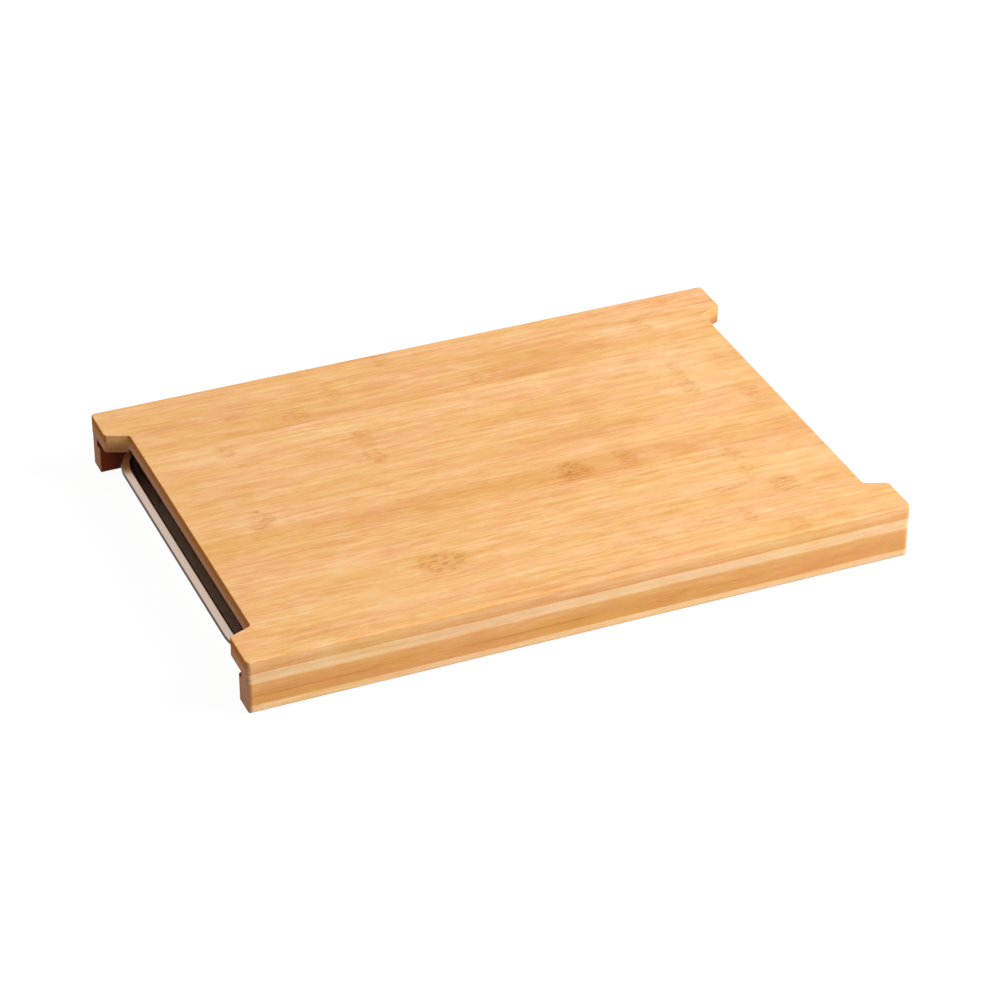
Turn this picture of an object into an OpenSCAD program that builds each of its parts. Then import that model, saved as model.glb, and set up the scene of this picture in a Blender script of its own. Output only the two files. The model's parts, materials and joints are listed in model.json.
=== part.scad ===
// Bamboo cutting board with two pressed steel trays that slide in grooves under it.
// X runs along the board, Y from its front to its back and Z up. The origin is on the
// surface that the board stands on, under the middle of the board. Sizes are in millimetres.

/* [Board] */
// Length of the board
board_l = 400; // [330:1:500]
// Width of the board, from front to back
board_w = 277.5; // [230:0.5:350]
// Thickness of the top layer of bamboo
top_layer_t = 7.8; // [6:0.1:12]
// Thickness of the bottom layer of bamboo
bottom_layer_t = 4; // [3:0.1:8]
// Radius of the board's four corners, seen from above
corner_r = 3; // [2.6:0.1:8]
// Rounding of the upper edges of the four sides
edge_r = 1.5; // [0.5:0.1:2.4]

/* [Notches in the ends] */
// How far a notch reaches in from the end
notch_d = 13.8; // [9:0.1:22]
// Width of the horn beside a notch, where it leaves the board
horn_root_w = 32.6; // [29:0.1:44]
// Width of the horn at its tip
horn_tip_w = 27; // [20:0.1:28]
// Radius of the horn's inner corner at its tip
mouth_r = 2.6; // [2.6:0.1:6]
// Radius in a notch's inner corners
notch_r = 2.5; // [1:0.1:5]
// Rounding under a notch's long wall, where fingers reach for the tray
finger_r = 0.8; // [0.5:0.1:2.8]

/* [Rails and grooves] */
// Width of a rail
rail_w = 15.5; // [14.2:0.1:22]
// Height of a rail
rail_h = 17.4; // [15:0.1:30]
// How far the rails stop short of the board's ends
rail_inset = 0.2; // [0.1:0.1:4]
// Rounding of a rail's lower edges
rail_edge_r = 1.5; // [0.5:0.1:3]
// Rounding of its lower edge towards the tray
rail_inner_r = 3.5; // [0.5:0.1:4]
// Radius of the inner upright edges at a rail's ends; the outer ones follow the board
rail_end_r = 2; // [0.5:0.1:3]
// Width of the strip between a rail and the board
strip_w = 10; // [9.8:0.1:11]
// Height of the groove that a tray's rim runs in
groove_h = 4.4; // [3.4:0.1:7]

/* [Trays] */
// Thickness of the sheet that a tray is pressed from
sheet_t = 0.7; // [0.5:0.05:1]
// How far a closed tray's rim lies behind the end of the board
tray_inset = 4; // [1:0.1:12]
// Outer corner radius of a tray's rim
tray_corner_r = 40; // [25:1:60]
// Height of the rim's turned-down lip, with the bend over it
lip_h = 1.4; // [1.2:0.1:2]
// Radius of the bends beside the rim
bend_r = 1.2; // [1.1:0.05:1.5]
// Depth of a tray, from its rim to the underside of its floor
tray_depth = 16.7; // [13:0.1:17.2]
// Radius between a tray's floor and its walls, inside
floor_r = 6; // [3:0.1:7]
// Slope of a tray's walls, in degrees
wall_slope = 6; // [2:0.5:10]
// How much the rim falls off towards its lip, in degrees
rim_slope = 8; // [0:0.5:10]

/* [Centre stop] */
// Width of the bar that stops both trays
stop_w = 12; // [8:0.5:20]
// Height of the bar
stop_h = 14; // [8:0.5:18]

/* [Screws and feet] */
// Diameter of a screw's shank
screw_d = 3.5; // [3:0.1:4]
// Diameter of a screw's head
head_d = 5.8; // [5.2:0.1:6]
// How far a screw reaches into the board
screw_bite = 7.5; // [5:0.1:7.5]
// Distance from the board's end to a rail's first screw
screw_from_end = 50; // [40:1:60]
// Distance from a rail to the stop's first screw
screw_from_rail = 24; // [15:1:40]
// Diameter of a foot
foot_d = 7; // [5:0.1:7.4]
// How far a foot stands out of its rail
foot_proud = 1; // [0.6:0.1:2]
// How deep a foot sits in its rail
foot_seat = 2.5; // [2:0.1:4]
// Distance from the board's end to a foot's middle
foot_from_end = 24; // [14:1:30]

/* [Clearances] */
// Gap between a tray's rim and the wall of its groove, on each side
side_gap = 0.6; // [0.4:0.1:1.2]
// Gap between a tray's basin and the rail beside it
basin_gap = 0.6; // [0.6:0.1:3]
// Gap between a tray's lip and the rail that it runs on
lip_gap = 0.3; // [0.3:0.05:0.4]
// Gap between a closed tray and the centre stop
stop_gap = 0.6; // [0.4:0.1:2]
// Gap between the centre stop's ends and the rails
stop_end_gap = 0.2; // [0.1:0.05:0.5]
// Gap round a screw or a foot in its hole
hole_gap = 0.1; // [0.05:0.05:0.2]

/* [Hidden] */

$fn = 64;
bamboo = [0.90, 0.69, 0.45];
pale_bamboo = [0.95, 0.78, 0.57];
brown_bamboo = [0.82, 0.60, 0.36];
steel = [0.78, 0.78, 0.79];
screw_steel = [0.66, 0.66, 0.68];
silicone = [0.35, 0.35, 0.36];

left = -1;
right = 1;
front = -1;
back = 1;
over = 0.5;             // how far a cut runs past the face that it starts from
arc_steps = 8;          // straight steps in the arc of an outline or of a tray's section

half_l = board_l / 2;
half_w = board_w / 2;

// Heights above the surface that the board stands on
rail_z = foot_proud;
ledge_z = rail_z + rail_h;
panel_z = ledge_z + groove_h;
glue_z = panel_z + bottom_layer_t;
top_z = glue_z + top_layer_t;
lip_z = ledge_z + lip_gap;

// Outline of the board in the quarter where X and Y are positive: the fillet in the notch,
// the horn's inner corner and the board's corner
notch_x = half_l - notch_d;
root_y = half_w - horn_root_w;
tip_y = half_w - horn_tip_w;
flare = atan2(tip_y - root_y, notch_d);
notch_c = [notch_x + notch_r, root_y - notch_r / tan(45 + flare / 2)];
mouth_c = [half_l - mouth_r, tip_y + mouth_r / tan(45 + flare / 2)];
corner_c = [half_l - corner_r, half_w - corner_r];
horn = concat(arc(notch_c, notch_r, 180, 90 + flare), arc(mouth_c, mouth_r, flare - 90, 0),
              arc(corner_c, corner_r, 0, 90));

// Rails, with the screws and feet in them
rail_half_l = half_l - rail_inset;
rail_screw_count = 4;
rail_screw_x = half_l - screw_from_end;
rail_screw_y = half_w - strip_w / 2;
rail_screw_l = rail_h + groove_h + screw_bite;
foot_x = half_l - foot_from_end;
foot_y = half_w - rail_w / 2;
foot_edge_r = 0.4;

// Centre stop
stop_half_l = half_w - rail_w - stop_end_gap;
stop_z = panel_z - stop_h;
stop_edge_r = 1.5;
stop_screw_count = 3;
stop_screw_y = half_w - rail_w - screw_from_rail;
stop_screw_l = stop_h + screw_bite;

// Screws
head_h = (head_d - screw_d) / 2;
point_h = 3;
point_d = 0.8;
hole_spare = 0.2;       // how far a hole runs past the point of its screw
slot_l = 3.4;
slot_w = 0.8;
slot_d = 1.1;

// Trays
tray_l = half_l - tray_inset - stop_w / 2 - stop_gap;
tray_w = board_w - 2 * strip_w - 2 * side_gap;
tray_x = half_l - tray_inset - tray_l / 2;
core_l = tray_l - 2 * tray_corner_r;
core_w = tray_w - 2 * tray_corner_r;
rim_w = rail_w - strip_w - side_gap + basin_gap + sheet_t;      // from its edge to the basin
rim_slope_w = rim_w - 2 * bend_r;
rim_fall = rim_slope_w * tan(rim_slope);
rim_z = lip_z + lip_h + rim_fall;
tray_z = rim_z - tray_depth;

// Section of a tray's wall, measured out from the centre of a corner and up from the ground
floor_top = tray_z + sheet_t;
into_basin = [-cos(wall_slope), sin(wall_slope)];
mouth_bend_c = [tray_corner_r - rim_w + bend_r, rim_z - bend_r];
lip_c = mouth_bend_c + [rim_slope_w, -rim_fall];
wall_top = mouth_bend_c + bend_r * into_basin;
wall_foot_z = floor_top + floor_r * (1 - sin(wall_slope));
wall_foot = [wall_top[0] - (wall_top[1] - wall_foot_z) * tan(wall_slope), wall_foot_z];
floor_c = wall_foot + floor_r * into_basin;

function toward(a) = [cos(a), sin(a)];
function arc(c, r, a0, a1) =
    [for (i = [0:arc_steps]) c + r * toward(a0 + (a1 - a0) * i / arc_steps)];
function reversed(points) = [for (i = [len(points) - 1:-1:0]) points[i]];
function mirrored(points, x, y) = [for (p = points) [x * p[0], y * p[1]]];

// ---- Shapes used by several pieces ----

// What a round edge leaves over between its circle, of centre c and radius r, and the
// corner of the two sides that touch the circle at the angles a0 and a1
module rounding(c, r, a0, a1) {
    middle = (a0 + a1) / 2;
    corner = r / cos((a1 - a0) / 2);
    difference() {
        polygon([c, c + (r + over) * toward(a0), c + (corner + 2 * over) * toward(middle),
                 c + (r + over) * toward(a1)]);
        translate(c) circle(r);
    }
}

// A rectangle from one corner to the opposite one, with its lower corners rounded
module bar_section(low, high, left_r, right_r) {
    difference() {
        translate(low) square(high - low);
        rounding(low + [left_r, left_r], left_r, 180, 270);
        rounding([high[0] - right_r, low[1] + right_r], right_r, 270, 360);
    }
}

// A section seen from the end, drawn out along X
module along_x(half_length) {
    rotate([90, 0, 90]) linear_extrude(2 * half_length, center = true) children();
}

// A section seen from the front, drawn out along Y
module along_y(half_length) {
    rotate([90, 0, 0]) linear_extrude(2 * half_length, center = true) children();
}

// ---- Board ----

module board_plan() {
    polygon(concat(horn, reversed(mirrored(horn, left, back)), mirrored(horn, left, front),
                   reversed(mirrored(horn, right, front))));
}

// A side of the top layer seen from one end, with its upper corners rounded
module top_section(half_width) {
    mirror([0, 1]) bar_section([-half_width, -top_z], [half_width, -glue_z], edge_r, edge_r);
}

module top_layer() {
    color(bamboo) difference() {
        intersection() {
            translate([0, 0, glue_z]) linear_extrude(top_layer_t) board_plan();
            along_x(half_l + over) top_section(half_w);
            along_y(half_w + over) top_section(half_l);
        }
        all_screw_holes();
    }
}

// What the round edge under a notch leaves over; it stops where the notch's fillets begin
module finger_cut(side) {
    mirror([side == left ? 1 : 0, 0, 0]) along_y(notch_c[1])
        rounding([notch_x - finger_r, panel_z + finger_r], finger_r, 270, 360);
}

module bottom_layer() {
    color(pale_bamboo) difference() {
        translate([0, 0, panel_z]) linear_extrude(bottom_layer_t) board_plan();
        for (side = [left, right]) finger_cut(side);
        all_screw_holes();
    }
}

// ---- Rails and the strips on them ----

// The back rail seen from above
module rail_plan() {
    outer_c = [rail_half_l - corner_r, half_w - corner_r];
    inner_c = [rail_half_l - rail_end_r, half_w - rail_w + rail_end_r];
    end = concat(arc(inner_c, rail_end_r, 270, 360), arc(outer_c, corner_r, 0, 90));
    polygon(concat(end, reversed(mirrored(end, left, back))));
}

module back_rail_body() {
    intersection() {
        translate([0, 0, rail_z]) linear_extrude(rail_h) rail_plan();
        along_x(half_l)
            bar_section([half_w - rail_w, rail_z], [half_w, ledge_z], rail_inner_r, rail_edge_r);
        along_y(half_w + over)
            bar_section([-rail_half_l, rail_z], [rail_half_l, ledge_z], rail_edge_r, rail_edge_r);
    }
}

module rail(side) {
    color(brown_bamboo) difference() {
        mirror([0, side == front ? 1 : 0, 0]) back_rail_body();
        at_rail_screws(side) screw_hole(rail_screw_l);
        for (x = [left, right]) at_foot(x, side) foot_hole();
    }
}

module groove_strip(side) {
    color(pale_bamboo) difference() {
        mirror([0, side == front ? 1 : 0, 0]) translate([0, 0, ledge_z])
            linear_extrude(groove_h) intersection() {
                rail_plan();
                translate([-half_l, half_w - strip_w]) square([board_l, strip_w]);
            }
        at_rail_screws(side) screw_hole(rail_screw_l);
    }
}

// ---- Centre stop ----

module centre_stop() {
    color(brown_bamboo) difference() {
        along_y(stop_half_l)
            bar_section([-stop_w / 2, stop_z], [stop_w / 2, panel_z], stop_edge_r, stop_edge_r);
        at_stop_screws() screw_hole(stop_screw_l);
    }
}

// ---- Screws ----

module at_rail_screws(side) {
    for (i = [0:rail_screw_count - 1]) {
        x = rail_screw_x * (2 * i / (rail_screw_count - 1) - 1);
        translate([x, side * rail_screw_y, rail_z]) children();
    }
}

module at_stop_screws() {
    for (i = [0:stop_screw_count - 1]) {
        y = stop_screw_y * (2 * i / (stop_screw_count - 1) - 1);
        translate([0, y, stop_z]) children();
    }
}

// A countersunk screw that points up, with its head's face at Z = 0
module screw(l) {
    difference() {
        union() {
            cylinder(h = head_h, d1 = head_d, d2 = screw_d);
            cylinder(h = l - point_h, d = screw_d);
            translate([0, 0, l - point_h]) cylinder(h = point_h, d1 = screw_d, d2 = point_d);
        }
        for (a = [0, 90]) rotate(a)
            translate([-slot_l / 2, -slot_w / 2, -over]) cube([slot_l, slot_w, slot_d + over]);
    }
}

module screw_hole(l) {
    hole_d = screw_d + 2 * hole_gap;
    sink_d = head_d + 2 * hole_gap;
    translate([0, 0, -over]) {
        cylinder(h = l + over + hole_spare, d = hole_d);
        cylinder(h = head_h + over, d1 = sink_d + 2 * over, d2 = hole_d);
    }
}

module all_screw_holes() {
    for (side = [front, back]) at_rail_screws(side) screw_hole(rail_screw_l);
    at_stop_screws() screw_hole(stop_screw_l);
}

module rail_screw_row(side) {
    color(screw_steel) at_rail_screws(side) screw(rail_screw_l);
}

module stop_screw_row() {
    color(screw_steel) at_stop_screws() screw(stop_screw_l);
}

// ---- Feet ----

module at_foot(x_side, y_side) {
    translate([x_side * foot_x, y_side * foot_y, 0]) children();
}

module foot() {
    color(silicone) rotate_extrude() difference() {
        square([foot_d / 2, foot_proud + foot_seat]);
        rounding([foot_d / 2 - foot_edge_r, foot_edge_r], foot_edge_r, 270, 360);
    }
}

module foot_hole() {
    translate([0, 0, rail_z - over]) cylinder(h = foot_seat + over, d = foot_d + 2 * hole_gap);
}

// ---- Trays ----

// One face of the sheet, from a corner's centre out to the lip; depth is how far the face
// lies below the upper one
function sheet_face(depth) =
    concat([[0, floor_top - depth]],
           arc(floor_c, floor_r + depth, 270, 360 - wall_slope),
           arc(mouth_bend_c, bend_r - depth, 180 - wall_slope, 90 - rim_slope),
           arc(lip_c, bend_r - depth, 90 - rim_slope, 0),
           [[tray_corner_r - depth, lip_z]]);

module tray_section() {
    polygon(concat(sheet_face(0), reversed(sheet_face(sheet_t))));
}

// The section is carried round a rectangle with round corners
module tray() {
    color(steel) {
        translate([0, 0, tray_z]) linear_extrude(sheet_t) square([core_l, core_w], center = true);
        for (turn = [0, 180]) rotate(turn) {
            translate([core_l / 2, 0]) along_y(core_w / 2) tray_section();
            rotate(90) translate([core_w / 2, 0]) along_y(core_l / 2) tray_section();
            translate([core_l / 2, core_w / 2]) rotate_extrude(angle = 90) tray_section();
            translate([-core_l / 2, core_w / 2]) rotate(90)
                rotate_extrude(angle = 90) tray_section();
        }
    }
}

top_layer();
bottom_layer();
groove_strip(front);  // front_groove_strip
groove_strip(back);  // back_groove_strip
rail(front);  // front_rail
rail(back);  // back_rail
centre_stop();
translate([-tray_x, 0]) tray();  // left_tray
translate([tray_x, 0]) tray();  // right_tray
rail_screw_row(front);  // front_rail_screws
rail_screw_row(back);  // back_rail_screws
stop_screw_row();  // stop_screws
at_foot(left, front) foot();  // foot_front_left
at_foot(right, front) foot();  // foot_front_right
at_foot(left, back) foot();  // foot_back_left
at_foot(right, back) foot();  // foot_back_right
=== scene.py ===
"""Looks of a bamboo cutting board with a steel tray in each end.

X runs along the board, Y from its front to its back and Z up, in metres. Patterns are laid out
in millimetres.
"""
import json
import math

import bpy
import numpy as np
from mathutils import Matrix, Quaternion, Vector


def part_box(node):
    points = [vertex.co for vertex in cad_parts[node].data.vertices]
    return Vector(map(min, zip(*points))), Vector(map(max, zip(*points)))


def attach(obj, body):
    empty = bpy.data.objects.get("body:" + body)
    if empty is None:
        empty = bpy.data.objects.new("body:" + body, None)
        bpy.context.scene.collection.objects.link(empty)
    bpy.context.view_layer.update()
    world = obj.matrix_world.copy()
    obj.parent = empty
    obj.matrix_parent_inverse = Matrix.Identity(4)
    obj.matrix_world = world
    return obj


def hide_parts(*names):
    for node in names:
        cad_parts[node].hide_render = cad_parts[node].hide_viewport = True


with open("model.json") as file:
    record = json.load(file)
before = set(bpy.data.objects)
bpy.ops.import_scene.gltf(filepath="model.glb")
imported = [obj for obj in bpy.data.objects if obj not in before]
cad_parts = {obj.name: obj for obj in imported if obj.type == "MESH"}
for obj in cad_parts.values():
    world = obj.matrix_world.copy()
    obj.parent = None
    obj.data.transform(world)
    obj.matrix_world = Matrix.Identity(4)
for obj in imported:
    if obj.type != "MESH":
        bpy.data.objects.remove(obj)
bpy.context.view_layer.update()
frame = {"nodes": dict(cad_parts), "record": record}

MM = 0.001

# ---- Sizes of the board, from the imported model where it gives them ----

board_low, board_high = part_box("bottom_layer")
tray_low, tray_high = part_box("right_tray")

half_l = board_high[0]
half_w = board_high[1]
board_w = 2 * half_w
panel_z = board_low[2]
glue_z = board_high[2]
top_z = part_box("top_layer")[1][2]
ledge_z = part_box("back_rail")[1][2]

notch_d = 13.8 * MM
horn_root_w = 32.6 * MM
horn_tip_w = 27 * MM
notch_r = 2.5 * MM
mouth_r = 2.6 * MM
corner_r = 3 * MM

long_edge_r = 1.5 * MM      # rounding of the upper edges at the front and back
end_edge_r = 0.6 * MM       # rounding of the other upper edges
joint_edge_r = 0.05 * MM    # broken edges along the glue lines
under_edge_r = 0.8 * MM     # rounding of the panel's lower edges at the ends
face_border = 0.6 * MM      # flat strip round the faces of a layer, just inside its edges

# ---- Sizes of a tray ----

tray_l = tray_high[0] - tray_low[0]
tray_w = tray_high[1] - tray_low[1]
tray_x = (tray_high[0] + tray_low[0]) / 2
rim_z = tray_high[2]
tray_z = tray_low[2]
tray_corner_r = 40 * MM
sheet_t = 0.7 * MM
rim_w = 6.2 * MM
lip_gap = 0.3 * MM          # between the lip and the ledge that it runs on
bend_r = 1.45 * MM
floor_r = 6 * MM
wall_slope = math.radians(6)
rim_slope = math.radians(8)     # the rim falls off towards the lip
rim_slope_w = rim_w - 2 * bend_r
rim_fall = rim_slope_w * math.tan(rim_slope)
lip_z = ledge_z + lip_gap

# ---- Shapes ----

sharp_angle = math.radians(32)      # edges that turn by more are shaded sharp


def arc(centre, radius, start, end, steps):
    """Points of a circle from one angle to another, in degrees: centre + radius (cos, sin)."""
    angle = np.radians(np.linspace(start, end, steps + 1))
    return np.array(centre) + radius * np.stack([np.cos(angle), np.sin(angle)], axis=-1)


def normals(start, end, steps):
    """Unit vectors out from the centre of such an arc."""
    return arc((0, 0), 1, start, end, steps)


def add_object(name, points, faces, smooth):
    """A new object with those vertices and faces; smooth says which faces are shaded smooth."""
    mesh = bpy.data.meshes.new(name)
    mesh.from_pydata(points, [], faces)
    mesh.polygons.foreach_set("use_smooth", smooth)
    mesh.set_sharp_from_angle(angle=sharp_angle)
    mesh.update()
    piece = bpy.data.objects.new(name, mesh)
    bpy.context.scene.collection.objects.link(piece)
    return piece


def skin(name, rings):
    """A closed solid from an array of rings: row i, point j is a corner of the quads between
    ring i and ring i + 1, and the first and the last ring are filled flat. Rings that run
    anticlockwise seen from above climb the outside of the solid."""
    count, around = rings.shape[:2]
    point = np.arange(count * around).reshape(count, around)
    here, there = point[:-1], point[1:]
    quads = np.stack([here, np.roll(here, -1, 1), np.roll(there, -1, 1), there], axis=-1)
    faces = [*quads.reshape(-1, 4).tolist(), point[0, ::-1].tolist(), point[-1].tolist()]
    smooth = [True] * (len(faces) - 2) + [False] * 2
    return add_object(name, rings.reshape(-1, 3), faces, smooth)


# ---- Board ----


def horn_outline(steps=14):
    """The quarter of the board's outline where X and Y are positive: three arcs joined by
    straight lines that touch them. Gives the points and the unit vectors out of the wood."""
    notch_x = half_l - notch_d
    root_y = half_w - horn_root_w
    tip_y = half_w - horn_tip_w
    flare = math.atan2(tip_y - root_y, notch_d)
    tangent = math.tan(math.radians(45) + flare / 2)
    notch_c = (notch_x + notch_r, root_y - notch_r / tangent)
    mouth_c = (half_l - mouth_r, tip_y + mouth_r / tangent)
    corner_c = (half_l - corner_r, half_w - corner_r)
    flare = math.degrees(flare)
    points = [arc(notch_c, notch_r, 180, 90 + flare, steps),
              arc(mouth_c, mouth_r, flare - 90, 0, steps),
              arc(corner_c, corner_r, 0, 90, steps)]
    outward = [-normals(180, 90 + flare, steps), normals(flare - 90, 0, steps),
               normals(0, 90, steps)]
    return np.concatenate(points), np.concatenate(outward)


def board_outline():
    """The whole outline anticlockwise: the quarter mirrored into the other three."""
    points, outward = horn_outline()
    quarters = [((1, 1), 1), ((-1, 1), -1), ((-1, -1), 1), ((1, -1), -1)]
    around = [(points[::way] * signs, outward[::way] * signs) for signs, way in quarters]
    return np.concatenate([p for p, _ in around]), np.concatenate([n for _, n in around])


def slab(name, low, high, lower_r, upper_r, steps=8):
    """A layer of the board: its outline is drawn in along a quarter circle at the lower and
    at the upper edge, by r (1 - cos a) while it climbs r (1 - sin a) short of the face."""
    points, outward = board_outline()
    angle = np.linspace(0, math.pi / 2, steps + 1)
    flat = np.full_like(upper_r, face_border)

    def ring(inset, z):
        z = np.broadcast_to(z, inset.shape)
        return np.column_stack([points - outward * inset[:, None], z])

    rings = [ring(lower_r + flat, low)]
    rings += [ring(lower_r * (1 - math.cos(a)), low + lower_r * (1 - math.sin(a)))
              for a in angle[::-1]]
    rings += [ring(0 * upper_r, (low + high) / 2)]
    rings += [ring(upper_r * (1 - math.cos(a)), high - upper_r * (1 - math.sin(a)))
              for a in angle]
    rings += [ring(upper_r + flat, high)]
    return skin(name, np.array(rings))


def top_slab():
    """The top layer, rounded more along the front and back than at the ends."""
    _, outward = board_outline()
    upper = end_edge_r + (long_edge_r - end_edge_r) * side_share()
    return slab("top_slab", glue_z, top_z, np.full(len(outward), joint_edge_r), upper)


def side_share():
    """1 along the front and back edges, 0 at the ends and in the notches, and the square of
    the normal's Y round the corners between them."""
    points, outward = board_outline()
    at_corner = np.abs(points[:, 1]) > half_w - corner_r - 0.01 * MM
    return np.where(at_corner, outward[:, 1] ** 2, 0)


def bottom_slab():
    """The bottom layer, with broken edges along the glue line and round ones under the
    ends and the notches."""
    _, outward = board_outline()
    lower = under_edge_r + (joint_edge_r - under_edge_r) * side_share()
    return slab("bottom_slab", panel_z, glue_z, lower, np.full(len(outward), joint_edge_r))


# ---- Trays ----


def sheet_face(depth, steps=10):
    """One face of a tray's sheet in section, from the floor out to the lip's edge, as
    distances from a corner's centre and heights. depth is how far it lies under the upper
    face: the two outer bends shrink by it and the bend at the floor grows."""
    floor_top = tray_z + sheet_t
    to_basin = np.array([-math.cos(wall_slope), math.sin(wall_slope)])
    mouth_c = np.array([tray_corner_r - rim_w + bend_r, rim_z - bend_r])
    lip_c = mouth_c + np.array([rim_slope_w, -rim_fall])
    wall_top = mouth_c + bend_r * to_basin
    foot_z = floor_top + floor_r * (1 - math.sin(wall_slope))
    foot = np.array([wall_top[0] - (wall_top[1] - foot_z) * math.tan(wall_slope), foot_z])
    floor_c = foot + floor_r * to_basin
    slope = math.degrees(wall_slope)
    fall = math.degrees(rim_slope)
    return np.concatenate([
        [[floor_c[0] - 1 * MM, floor_top - depth]],
        arc(floor_c, floor_r + depth, 270, 360 - slope, steps),
        arc(mouth_c, bend_r - depth, 180 - slope, 90 - fall, steps),
        arc(lip_c, bend_r - depth, 90 - fall, 0, steps),
        [[tray_corner_r - depth, lip_z]]])


def tray(name, side, steps=24):
    """A tray: its section carried round the four corner centres of a rectangle, the upper
    face from the floor to the lip's edge and back along the lower face."""
    core = np.array([tray_l / 2 - tray_corner_r, tray_w / 2 - tray_corner_r])
    signs = [(1, 1), (-1, 1), (-1, -1), (1, -1)]
    centres = np.repeat(core * signs, steps + 1, axis=0)
    out = np.concatenate([normals(90 * i, 90 * (i + 1), steps) for i in range(4)])
    section = np.concatenate([sheet_face(0), sheet_face(sheet_t)[::-1]])
    plan = centres + section[:, None, :1] * out + np.array([side * tray_x, 0])
    height = np.broadcast_to(section[:, None, 1:], (*plan.shape[:2], 1))
    return skin(name, np.concatenate([plan, height], axis=-1)[::-1])


# ---- Materials ----


class Field:
    """A number, colour or place that varies over a surface. Arithmetic on it adds the nodes
    that work it out."""

    def __init__(self, sheet, socket):
        self.sheet = sheet
        self.socket = socket

    def node(self, operation, *values):
        """A Math or Vector Math node on those values, one of which is this field."""
        kind = "ShaderNodeVectorMath" if self.socket.type == "VECTOR" else "ShaderNodeMath"
        return self.sheet.add(kind, {"operation": operation}, values)

    def __add__(self, other):
        return self.node("ADD", self, other)

    def __sub__(self, other):
        return self.node("SUBTRACT", self, other)

    def __rsub__(self, other):
        return self.node("SUBTRACT", other, self)

    def __mul__(self, other):
        return self.node("MULTIPLY", self, other)

    def __truediv__(self, other):
        return self.node("DIVIDE", self, other)

    def __abs__(self):
        return self.node("ABSOLUTE", self)

    __radd__ = __add__
    __rmul__ = __mul__

    def floor(self):
        """The whole number at or under this one."""
        return self.node("FLOOR", self)

    def length(self):
        """The length of a place's vector."""
        return self.sheet.add("ShaderNodeVectorMath", {"operation": "LENGTH"}, [self], "Value")

    def axis(self, name):
        """The X, Y or Z part of a place."""
        return self.sheet.add("ShaderNodeSeparateXYZ", {}, [self], name)

    def rise(self, low, high):
        """0 at low and before it, 1 at high and past it, with a soft step between; high may
        be the smaller of the two."""
        settings = {"interpolation_type": "SMOOTHSTEP"}
        return self.sheet.add("ShaderNodeMapRange", settings, [self, low, high, 0.0, 1.0])


class Sheet:
    """The node tree of a new material or of the world."""

    def __init__(self, owner):
        owner.use_nodes = True
        self.owner = owner
        self.tree = owner.node_tree
        self.tree.nodes.clear()

    def add(self, kind, settings, values, output=0):
        """A node of that kind: first its settings, then what its sockets hold or are fed by,
        in order or by name. Gives the named or numbered output, if the node has any."""
        node = self.tree.nodes.new(kind)
        for setting, value in settings.items():
            if setting == "stops":
                self.set_stops(node.color_ramp, value)
            else:
                setattr(node, setting, value)
        for key, value in values.items() if isinstance(values, dict) else enumerate(values):
            socket = node.inputs[key]
            if isinstance(value, Field):
                self.tree.links.new(value.socket, socket)
            elif socket.type == "VECTOR" and not isinstance(value, tuple):
                socket.default_value = (value, value, value)
            elif socket.type == "RGBA":
                socket.default_value = (*value, 1)
            else:
                socket.default_value = value
        return Field(self, node.outputs[output]) if node.outputs else None

    @staticmethod
    def set_stops(ramp, stops):
        """Stops of a colour ramp: pairs of a place from 0 to 1 and a colour."""
        while len(ramp.elements) < len(stops):
            ramp.elements.new(1)
        for element, (place, colour) in zip(ramp.elements, stops):
            element.position = place
            element.color = (*colour, 1)

    def place(self):
        """The place on the object in millimetres."""
        return self.add("ShaderNodeTexCoord", {}, [], "Object") * (1 / MM)

    def facing(self):
        """The unit vector out of the surface."""
        return self.add("ShaderNodeTexCoord", {}, [], "Normal")

    def noise(self, place, detail=2.0, roughness=0.5):
        """Cloudy noise about 0.5, with a grain of 1 in the place's own unit."""
        values = {"Vector": place, "Scale": 1.0, "Detail": detail, "Roughness": roughness}
        return self.add("ShaderNodeTexNoise", {}, values)

    def drawn_out(self, place, along, across, detail, roughness=0.5):
        """Noise drawn out along X: along and across are its scales that way and across it."""
        return self.noise(place * (along, across, across), detail, roughness)

    def dots(self, place):
        """The distance to the nearest of many scattered points, about one to each unit."""
        return self.add("ShaderNodeTexVoronoi", {}, {"Vector": place, "Scale": 1.0})

    def random(self, number):
        """A fixed random number from 0 to 1 for each whole number."""
        return self.add("ShaderNodeTexWhiteNoise", {"noise_dimensions": "1D"}, {"W": number})

    def join(self, x, y, z):
        """A place from its three parts."""
        return self.add("ShaderNodeCombineXYZ", {}, [x, y, z])

    def blend(self, share, first, second):
        """The first colour where share is 0, and the second where it is 1."""
        settings = {"data_type": "RGBA", "clamp_factor": True}
        return self.add("ShaderNodeMix", settings, {0: share, 6: first, 7: second}, 2)

    def ramp(self, value, stops):
        """The colour of a ramp at that value."""
        return self.add("ShaderNodeValToRGB", {"stops": stops}, [value])

    def bump(self, height, distance):
        """A normal for a relief whose height goes from 0 to distance, in metres."""
        return self.add("ShaderNodeBump", {}, {"Height": height, "Distance": distance})

    def finish(self, **sockets):
        """Ends the tree in a Principled shader with those sockets, and gives the material."""
        values = {name.replace("_", " "): value for name, value in sockets.items()}
        values["Specular IOR Level"] = values.pop("Specular", 0.5)
        shader = self.add("ShaderNodeBsdfPrincipled", {}, values)
        self.add("ShaderNodeOutputMaterial", {}, [shader])
        return self.owner


# ---- Bamboo ----

strip_count = 14
strip_w = board_w / MM / strip_count

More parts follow.
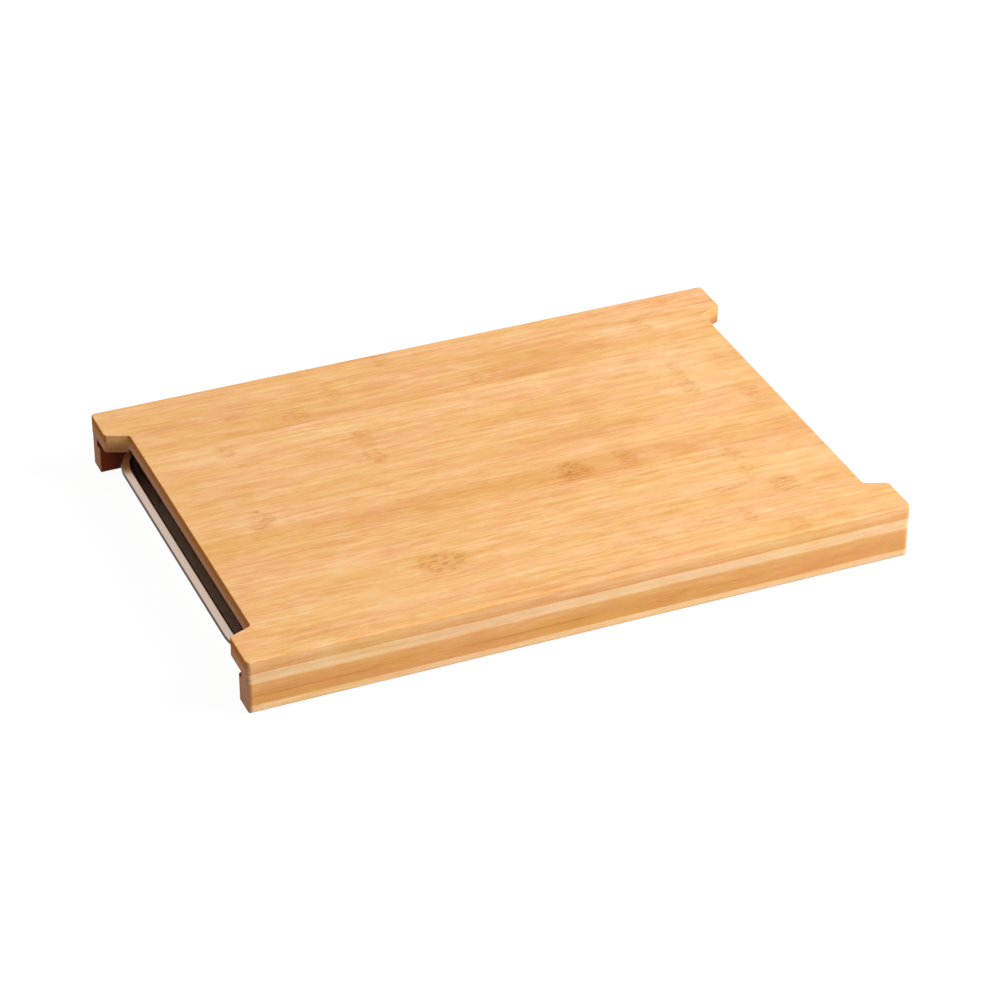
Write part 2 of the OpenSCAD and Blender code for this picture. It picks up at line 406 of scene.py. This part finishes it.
# Colours of the cane from its darkest to its palest
cane_stops = [
    (0.00, (0.69, 0.290, 0.072)), (0.10, (0.75, 0.340, 0.095)), (0.30, (0.81, 0.391, 0.124)),
    (0.43, (0.87, 0.447, 0.162)), (0.50, (0.90, 0.480, 0.188)), (0.62, (0.94, 0.542, 0.240)),
    (0.75, (0.96, 0.612, 0.308)), (0.88, (1.00, 0.660, 0.370)), (1.00, (1.00, 0.700, 0.420))]
rose_turn = (0.005, -0.009, 0.009)      # what turns a colour towards rose
plain_tone = 0.51
strip_spread = 0.06
knuckle_brown = (0.53, 0.21, 0.040)
end_tan = (0.77, 0.39, 0.25)
end_top_tan = (0.61, 0.19, 0.016)
end_brown = (0.42, 0.17, 0.05)
# Painted light and shade: a browner, more even colour for the end faces towards the right, which
# the lamp lights
lit_right_end_tan = (0.58, 0.30, 0.125)
# Painted shade at the foot of the notches' long walls, nearly black
wall_foot_shade_black = (0.008, 0.001, 0.0002)
# Painted shade low on the flared walls of the notches
flare_shade_tan = (0.36, 0.11, 0.03)
# Painted shade on the inner faces under the board: brown near the ends, black deeper in
cavity_shade_brown = (0.24, 0.040, 0.010)
deep_cavity_shade_black = (0.05, 0.008, 0.004)

# Strips of the top that stand out: number from the back, how much paler the strip is than
# the others, and how dark the joint at its front edge is
top_strips = [(1, 0.0, 0.12), (3, -0.05, 0.26), (4, 0.05, 0.10), (6, 0.0, 0.08), (7, -0.02, 0.06),
              (9, -0.08, 0.20), (11, 0.02, 0.10), (13, 0.0, 0.06)]

# Knuckles of the cane on the top: place along the board, number of the strip from the back,
# length along the strip and depth of colour
top_knuckles = [
    (-19, 1, 14, 0.45), (-60, 2, 12, 0.4), (145, 2, 12, 0.35), (-88, 3, 18, 0.5),
    (26, 3, 9, 0.45), (-140, 4, 12, 0.4), (-61, 5, 13, 0.5), (141, 5, 10, 0.45),
    (-61, 6, 11, 0.7), (141, 6, 11, 0.55), (172, 7, 12, 0.45), (-146, 8, 16, 0.6),
    (38, 9, 22, 1.0), (72, 9, 10, 0.5), (131, 10, 12, 0.5), (131, 11, 12, 0.45),
    (-66, 12, 34, 0.85), (144, 12, 17, 0.7), (111, 13, 10, 0.5), (133, 14, 12, 0.4)]
bottom_knuckles = [
    (-150, 2, 12, 0.5), (50, 3, 14, 0.6), (-40, 5, 10, 0.5), (110, 6, 13, 0.6),
    (-90, 8, 12, 0.6), (20, 9, 11, 0.5), (150, 10, 12, 0.5), (-130, 12, 13, 0.6), (85, 13, 11, 0.5)]
rail_knuckles = [(-95, 14, 12, 0.9), (-145, 14, 10, 0.45), (120, 14, 9, 0.3), (60, 1, 12, 0.7),
                 (-120, 1, 10, 0.5)]

# Warmer washes over the top: centre, half length, half width and depth; a negative depth
# makes a paler one
top_washes = [
    (10, -29, 110, 9, 0.12), (50, 4, 55, 9, 0.12), (70, 98, 40, 18, 0.14), (30, 82, 70, 3, 0.16),
    (37, 40, 50, 14, 0.07), (-160, 103, 32, 9, 0.07), (-60, -70, 60, 8, 0.07),
    (150, 105, 45, 14, -0.14), (150, 30, 40, 60, -0.08), (120, -60, 60, 30, -0.07)]

# The outer faces of the board, in millimetres up from the ground: a pale band with a dark
# line over it, darker cane above and below, and a pale foot, partly paler cane and partly
# painted light from the floor. The lower cane darkens in two steps and has a dark line in it.
pale_band_top = 26.2
pale_band_foot = 19.8
cane_line_z = 11.6
pale_foot_z = 5.9
brown_band_top = 30.3
under_band_z = 20.0
lower_cane_z = 14.5

# How much paler or darker than the plain cane each of them is
outer_rise = 0.06
pale_band_rise = 0.32
# The foot's rise is partly paler cane and partly painted light from the floor
foot_floor_light_rise = 0.52
brown_band_drop = 0.11
band_line_drop = 0.13
cane_line_drop = 0.40
under_band_drop = 0.10
lower_cane_drop = 0.16


def strips_of(place):
    """The number of the strip that holds a place, from 0 at the back, and how far the place
    lies from the strip's middle, in millimetres."""
    back_off = (half_w / MM - place.axis("Y")) / strip_w
    number = back_off.floor()
    return number, (back_off - number - 0.5) * strip_w


def knuckle_share(sheet, place, number, across, knuckles):
    """How much of a knuckle covers a place: each is a soft patch across its own strip, with
    an edge that wanders by a few millimetres, and paler in places."""
    wander = sheet.drawn_out(place, 0.14, 0.14, 3) - 0.5
    patchy = sheet.drawn_out(place, 0.20, 0.20, 2).rise(0.32, 0.62)
    far_apart = 1000.0
    in_strip = sheet.join(place.axis("X") + wander * 12, number * far_apart, across)
    share = 0.0
    for along, strip, length, depth in knuckles:
        offset = in_strip - (float(along), (strip - 1) * far_apart, 0.0)
        reach = (offset * (2 / length, 1.0, 1.7 / strip_w)).length()
        share = reach.rise(1.25, 0.55) * depth + share
    return share * (0.35 + patchy * 0.65)


def wash_tone(sheet, place, washes):
    """The sum of the washes at a place: each is a soft oval."""
    wander = sheet.drawn_out(place, 0.02, 0.09, 3) - 0.5
    moved = sheet.join(place.axis("X") + wander * 70, place.axis("Y") + wander * 16, 0.0)
    tone = 0.0
    for x, y, half_length, half_width, depth in washes:
        offset = moved - (float(x), float(y), 0.0)
        reach = (offset * (1 / half_length, 1 / half_width, 1.0)).length()
        tone = reach.rise(1.3, 0.2) * -depth + tone
    return tone


def strip_tone(sheet, place, number, across, shift, marked):
    """The tone of each numbered strip: a small one by chance, and more for marked strips,
    with a joint line that comes and goes along the board."""
    tone = (shift - 0.5) * strip_spread + plain_tone
    joint = across.rise(strip_w / 2 - 1.3, strip_w / 2 - 0.2)
    joint = joint * sheet.drawn_out(place, 0.02, 0.03, 2).rise(0.36, 0.60)
    for strip, change, line in marked:
        this_strip = abs(number - (strip - 1)).rise(0.5, 0.4)
        tone = this_strip * (joint * -line + change) + tone
    return tone


def cane_line_share(x):
    """How clearly the line in the cane shows along the board: fully just left of the middle,
    and faintly near the left end."""
    return x.rise(-90.0, -50.0) * x.rise(10.0, -12.0) + x.rise(-112.0, -150.0) * 0.4


def outer_tone(sheet, place):
    """The tone of the board's front and back faces, and how far they count at a place."""
    wobble = sheet.drawn_out(place, 0.02, 0.3, 3) - 0.5
    z = place.axis("Z") + wobble * 1.4
    pale = z.rise(pale_band_foot - 0.8, pale_band_foot + 0.8)
    pale = pale * z.rise(pale_band_top + 0.3, pale_band_top - 0.3)
    line = abs(z - (pale_band_top + 0.75)).rise(0.7, 0.1) * (0.5 + wobble.rise(-0.2, 0.2))
    brown = z.rise(brown_band_top + 1.2, brown_band_top - 1.0)
    below = z.rise(under_band_z + 1, under_band_z - 1) * under_band_drop
    below = below + z.rise(lower_cane_z + 3, lower_cane_z - 3) * lower_cane_drop
    foot = z.rise(pale_foot_z + 0.6, pale_foot_z - 0.6)
    cane_line = abs(z - cane_line_z).rise(0.9, 0.1) * cane_line_share(place.axis("X"))
    tone = plain_tone + outer_rise + pale * pale_band_rise + foot * foot_floor_light_rise
    tone = tone - brown * brown_band_drop - line * band_line_drop
    tone = tone - below - cane_line * cane_line_drop
    outer = abs(place.axis("Y")).rise(half_w / MM - 3.5, half_w / MM - 1)
    return tone, outer * place.axis("Z").rise(33.5, 31.5)


def tinted(stops, blush):
    """Those stops turned towards rose, for a blush of 1, or towards gold, for -1."""
    return [(place, tuple(part + turn * blush for part, turn in zip(colour, rose_turn)))
            for place, colour in stops]


def cut_colour(sheet, place, facing, broad):
    """Cane cut across the fibres: dark dots of the bundles, and a warmer upper edge. The faces
    towards the right end, which the lamp lights, are given a browner, more even colour than the
    shaded left end's: painted light and shade on one kind of end grain."""
    bundles = sheet.dots(place * (0.02, 1.5, 1.5)).rise(0.5, 0.15)
    colour = sheet.blend(bundles * 0.5 + (broad - 0.4) * 0.7, end_tan, end_brown)
    high = place.axis("Z").rise(top_z / MM - 6.5, top_z / MM - 3.5)
    colour = sheet.blend(high * 0.9, colour, end_top_tan)
    return sheet.blend(facing.axis("X").rise(0.0, 0.5) * 0.8, colour, lit_right_end_tan)


def under_wall(place, facing):
    """1 at the foot of a notch's long wall, which gets a nearly black painted shade."""
    wall_x = (half_l - notch_d) / MM
    in_notch = abs(place.axis("X")).rise(wall_x + 3, wall_x + 1)
    low = place.axis("Z").rise(panel_z / MM + 2.5, panel_z / MM + 1.5)
    return in_notch * low * abs(facing.axis("X")).rise(0.5, 0.8)


def under_horn(place, facing):
    """1 low down on the flared walls of the notches, which get a browner painted shade there."""
    past_flare_y = 118.0
    flared = abs(place.axis("Y")).rise(past_flare_y + 7, past_flare_y)
    low = place.axis("Z").rise(glue_z / MM + 4.5, glue_z / MM - 1.5)
    return flared * low * abs(facing.axis("Y")).rise(0.5, 0.8)


def inside(place, facing):
    """1 on the faces of the grooves and of the rails' inner sides, which get painted shade, 0
    elsewhere.
    """
    outward_y = facing.axis("Y") * place.axis("Y")
    inward = outward_y.rise(-30.0, -90.0)
    ledge = facing.axis("Z").rise(0.5, 0.9)
    under_board = place.axis("Z").rise(panel_z / MM + 0.1, panel_z / MM - 0.1)
    return (inward + ledge) * under_board


def grain_place(sheet, place, shift, marks):
    """The place that the fibres are drawn at: another part of the pattern on each strip, a
    little wavy, and bent round the knuckles."""
    swerve = sheet.drawn_out(place, 0.1, 0.1, 1) - 0.5
    wave = sheet.drawn_out(place, 0.03, 0.06, 2) - 0.5
    return place + sheet.join(shift * 900, marks * swerve * 8 + wave * 3.5, shift * 300)


def cane_detail(sheet, place, grain, broad, streaks, fibres, dashes):
    """The tone of the cane's pattern, about 0: streaks and fibres that are busier in places,
    broad bands, clouds and strands, and short dark dashes."""
    busy = sheet.drawn_out(place, 0.014, 0.05, 1).rise(0.36, 0.64)
    clouds = sheet.drawn_out(place, 0.06, 0.09, 3, 0.6)
    strands = sheet.drawn_out(grain, 0.03, 0.40, 2)
    detail = (streaks - 0.5) * 0.64 + (fibres - 0.5) * 0.42
    detail = detail * (0.65 + busy * 0.6) + (broad - 0.5) * 0.38
    return detail + (clouds - 0.5) * 0.36 + (strands - 0.5) * 0.46 - dashes * 0.17


def cane_colour(sheet, place, tone):
    """The colour of that tone, rosier in some patches and more golden in others."""
    blush = sheet.drawn_out(place, 0.014, 0.07, 2).rise(0.36, 0.64)
    return sheet.blend(blush, sheet.ramp(tone, tinted(cane_stops, -1)),
                       sheet.ramp(tone, tinted(cane_stops, 1)))


def worked_colour(sheet, place, facing, broad, end, inner_shade, colour):
    """That colour with the cut ends over it, and painted shade on the notch walls and on the inner
    faces under the board.
    """
    colour = sheet.blend(under_horn(place, facing) * 0.65, colour, flare_shade_tan)
    colour = sheet.blend(end * 0.94, colour, cut_colour(sheet, place, facing, broad))
    colour = sheet.blend(end * abs(facing.axis("Y")) * 0.5, colour, end_brown)
    colour = sheet.blend(under_wall(place, facing), colour, wall_foot_shade_black)
    # The painted shade on the inner faces darkens to black deeper in from the ends
    deep = abs(place.axis("X")).rise(half_l / MM - 2, half_l / MM - 13)
    return sheet.blend(inner_shade, colour, sheet.blend(deep * 0.8, cavity_shade_brown, deep_cavity_shade_black))


def bamboo(name, marked, knuckles, washes, seed):
    """Flat-pressed strips of cane: fibres along X, knuckles and washes, bands on the outer
    faces and end grain with its dots where the wood is cut across. The faces towards the
    inside, under the board, get a dark painted shade."""
    sheet = Sheet(bpy.data.materials.new(name))
    place = sheet.place()
    facing = sheet.facing()
    number, across = strips_of(place)
    marks = knuckle_share(sheet, place, number, across, knuckles)
    shift = sheet.random(number + seed)
    grain = grain_place(sheet, place, shift, marks)
    broad = sheet.drawn_out(grain, 0.014, 0.16, 3)
    streaks = sheet.drawn_out(grain, 0.05, 0.8, 3, 0.62)
    fibres = sheet.drawn_out(grain, 0.24, 2.6, 2, 0.6)
    dashes = sheet.drawn_out(grain, 0.10, 1.5, 2).rise(0.58, 0.74)
    flecks = sheet.drawn_out(grain, 0.20, 1.4, 2, 0.6).rise(0.50, 0.62)

    tone = strip_tone(sheet, place, number, across, shift, marked)
    tone = tone + wash_tone(sheet, place, washes)
    side, outer = outer_tone(sheet, place)
    tone = tone + (side - tone) * outer
    detail = cane_detail(sheet, place, grain, broad, streaks, fibres, dashes)
    tone = tone + detail * (1.0 - outer * 0.25) - marks * 0.20
    upright_edge = abs(facing.axis("X")) * abs(facing.axis("Y"))
    tone = tone - upright_edge * 0.12
    speckle = marks * flecks
    colour = sheet.blend(speckle, cane_colour(sheet, place, tone), knuckle_brown)
    end = abs(facing.axis("X")).rise(0.3, 0.9)
    inner_shade = inside(place, facing)
    colour = worked_colour(sheet, place, facing, broad, end, inner_shade, colour)

    relief = fibres * 0.5 + streaks * 0.5 - dashes * 0.4 - speckle * 0.5
    gloss = (1.0 - end) * (1.0 - inner_shade)
    return sheet.finish(Base_Color=colour, Roughness=0.52 + (fibres - 0.5) * 0.25 + end * 0.3,
                        Normal=sheet.bump(relief, 0.05 * MM), Specular=0.08,
                        Coat_Weight=gloss * 0.2, Coat_Roughness=0.38)


# ---- Steel and silicone ----


def satin_steel(name, colour, inner_colour, lay):
    """Steel with fine rubbed lines along Y or X, and faint smears that change its gloss. A
    tray's lip is darker, a painted shade. What lies under the lip, as a tray's basin and the
    screws do, is rougher and has the inner colour."""
    sheet = Sheet(bpy.data.materials.new(name))
    place = sheet.place()
    line_scale = (4.0, 0.05, 1.0) if lay == "Y" else (0.05, 4.0, 1.0)
    lines = sheet.noise(place * line_scale, 3, 0.7)
    smears = sheet.drawn_out(place, 0.03, 0.03, 3)
    shade = 1.0 + (lines - 0.5) * 0.16 + (smears - 0.5) * 0.10
    # Painted shade on a tray's lip
    lip = abs(sheet.facing().axis("Z")).rise(0.98, 0.80)
    lip = lip * place.axis("Z").rise(lip_z / MM - 0.4, lip_z / MM)
    basin = place.axis("Z").rise(lip_z / MM - 0.2, lip_z / MM - 1.5)
    shade = shade * (1.0 - lip * 0.84)
    tint = sheet.add("ShaderNodeVectorMath", {"operation": "SCALE"},
                     {0: sheet.blend(basin, colour, inner_colour), "Scale": shade})
    roughness = 0.20 + (lines - 0.5) * 0.18 + (smears - 0.5) * 0.12 + basin * 0.22
    return sheet.finish(Base_Color=tint, Metallic=1.0, Roughness=roughness,
                        Normal=sheet.bump(lines, 0.006 * MM))


def silicone(name, colour):
    """Matt rubber with a fine moulded grain."""
    sheet = Sheet(bpy.data.materials.new(name))
    place = sheet.place()
    grain = sheet.drawn_out(place, 3.0, 3.0, 3, 0.7)
    tint = sheet.add("ShaderNodeVectorMath", {"operation": "SCALE"},
                     {0: colour, "Scale": 0.85 + grain * 0.3})
    return sheet.finish(Base_Color=tint, Roughness=0.62 + (grain - 0.5) * 0.2,
                        Normal=sheet.bump(grain, 0.03 * MM))


# ---- Pieces ----

materials = {
    "bamboo_top": bamboo("bamboo_top", top_strips, top_knuckles, top_washes, 3),
    "bamboo_bottom": bamboo("bamboo_bottom", [], bottom_knuckles, [], 40),
    "bamboo_rail": bamboo("bamboo_rail", [], rail_knuckles, [], 80),
    # The tray's warm outer colour, on the rim and lip, is a painted reflection of the bamboo; the
    # basin has the plainer inner colour
    "tray_steel": satin_steel("tray_steel", (0.62, 0.48, 0.40), (0.74, 0.68, 0.62), "Y"),
    "screw_steel": satin_steel("screw_steel", (0.60, 0.60, 0.60), (0.60, 0.60, 0.60), "X"),
    "foot_silicone": silicone("foot_silicone", (0.09, 0.09, 0.095)),
}
slot_of = {row["node"]: row["material_slot"] for row in frame["record"]["subparts"]}


def finish_piece(piece, node, body):
    """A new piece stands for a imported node, moves with its body and takes its material."""
    piece.data.materials.append(materials[slot_of[node]])
    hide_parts(node)
    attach(piece, body)


finish_piece(top_slab(), "top_layer", "board")
finish_piece(bottom_slab(), "bottom_layer", "board")
finish_piece(tray("left_pressed_tray", -1), "left_tray", "left_tray")
finish_piece(tray("right_pressed_tray", 1), "right_tray", "right_tray")

replaced = {"top_layer", "bottom_layer", "left_tray", "right_tray"}
for node, packed in frame["nodes"].items():
    if node not in replaced:
        for material_slot in packed.material_slots:
            material_slot.material = materials[slot_of[node]]

# ---- Floor, light and camera ----

floor_half = 4.0
floor_grey = 0.50           # of the floor for light that bounces off it
seen_floor_grey = 0.10      # of the floor where it is seen, which takes the shadow
seen_floor_glow = 0.95      # and how much it glows there, to look white
room_level = 0.36           # how bright the room is as a light; it is 1 where it is seen


def is_seen(sheet):
    """1 for a ray that comes from the camera, or by a reflection or through glass from it."""
    ways = ("Is Camera Ray", "Is Glossy Ray", "Is Transmission Ray")
    camera_ray, glossy_ray, passed_ray = (
        sheet.add("ShaderNodeLightPath", {}, [], way) for way in ways)
    any_ray = camera_ray + glossy_ray + passed_ray
    return any_ray.node("MINIMUM", any_ray, 1.0)


def floor():
    """A pale floor that looks white and keeps the board's shadow. It can be looked through
    from below."""
    sheet = Sheet(bpy.data.materials.new("pale_floor"))
    lit = sheet.add("ShaderNodeBsdfDiffuse", {}, {"Color": (floor_grey,) * 3})
    shade = sheet.add("ShaderNodeBsdfDiffuse", {}, {"Color": (seen_floor_grey,) * 3})
    glow = sheet.add("ShaderNodeEmission", {}, {"Color": (1, 1, 1), "Strength": seen_floor_glow})
    white = sheet.add("ShaderNodeAddShader", {}, [shade, glow])
    upper = sheet.add("ShaderNodeMixShader", {}, [is_seen(sheet), lit, white])
    under = sheet.add("ShaderNodeBsdfTransparent", {}, {})
    back = sheet.add("ShaderNodeNewGeometry", {}, [], "Backfacing")
    both = sheet.add("ShaderNodeMixShader", {}, [back, upper, under])
    sheet.add("ShaderNodeOutputMaterial", {}, [both])
    corners = [(-floor_half, -floor_half, 0), (floor_half, -floor_half, 0),
               (floor_half, floor_half, 0), (-floor_half, floor_half, 0)]
    piece = add_object("floor", corners, [(0, 1, 2, 3)], [False])
    piece.data.materials.append(sheet.owner)


def surroundings():
    """An even pale room, white where it is seen."""
    sheet = Sheet(bpy.data.worlds.new("room"))
    bpy.context.scene.world = sheet.owner
    level = room_level + is_seen(sheet) * (1 - room_level)
    light = sheet.add("ShaderNodeBackground", {}, {"Color": (1.0, 1.0, 1.0), "Strength": level})
    sheet.add("ShaderNodeOutputWorld", {}, [light])


def softbox(name, toward, size, distance, level):
    """A square lamp that looks at the board from that side. level is how bright it makes a
    white surface that faces it: a lamp of P watts gives P / (pi distance) squared."""
    lamp = bpy.data.lights.new(name, "AREA")
    lamp.size = size
    lamp.energy = level * (math.pi * distance) ** 2
    holder = bpy.data.objects.new(name, lamp)
    direction = Vector(toward).normalized()
    holder.location = direction * distance
    holder.rotation_mode = "QUATERNION"
    holder.rotation_quaternion = direction.to_track_quat("Z", "Y")
    bpy.context.scene.collection.objects.link(holder)


def camera():
    """The camera of the photograph, fitted to the board's corners."""
    data = bpy.data.cameras.new("camera")
    data.sensor_width = 36
    data.lens = 126.762
    holder = bpy.data.objects.new("camera", data)
    holder.location = (-0.6699, -1.59825, 1.11546)
    aim = Vector((0.327591, 0.775916, -0.539109))
    roll = math.radians(0.052)
    holder.rotation_mode = "QUATERNION"
    holder.rotation_quaternion = aim.to_track_quat("-Z", "Y") @ Quaternion((0, 0, 1), roll)
    bpy.context.scene.collection.objects.link(holder)
    bpy.context.scene.camera = holder


floor()
surroundings()
softbox("key", toward=(0.768, -0.376, 0.519), size=1.8, distance=3.6, level=1.37)
camera()
bpy.context.scene.view_settings.view_transform = "Standard"
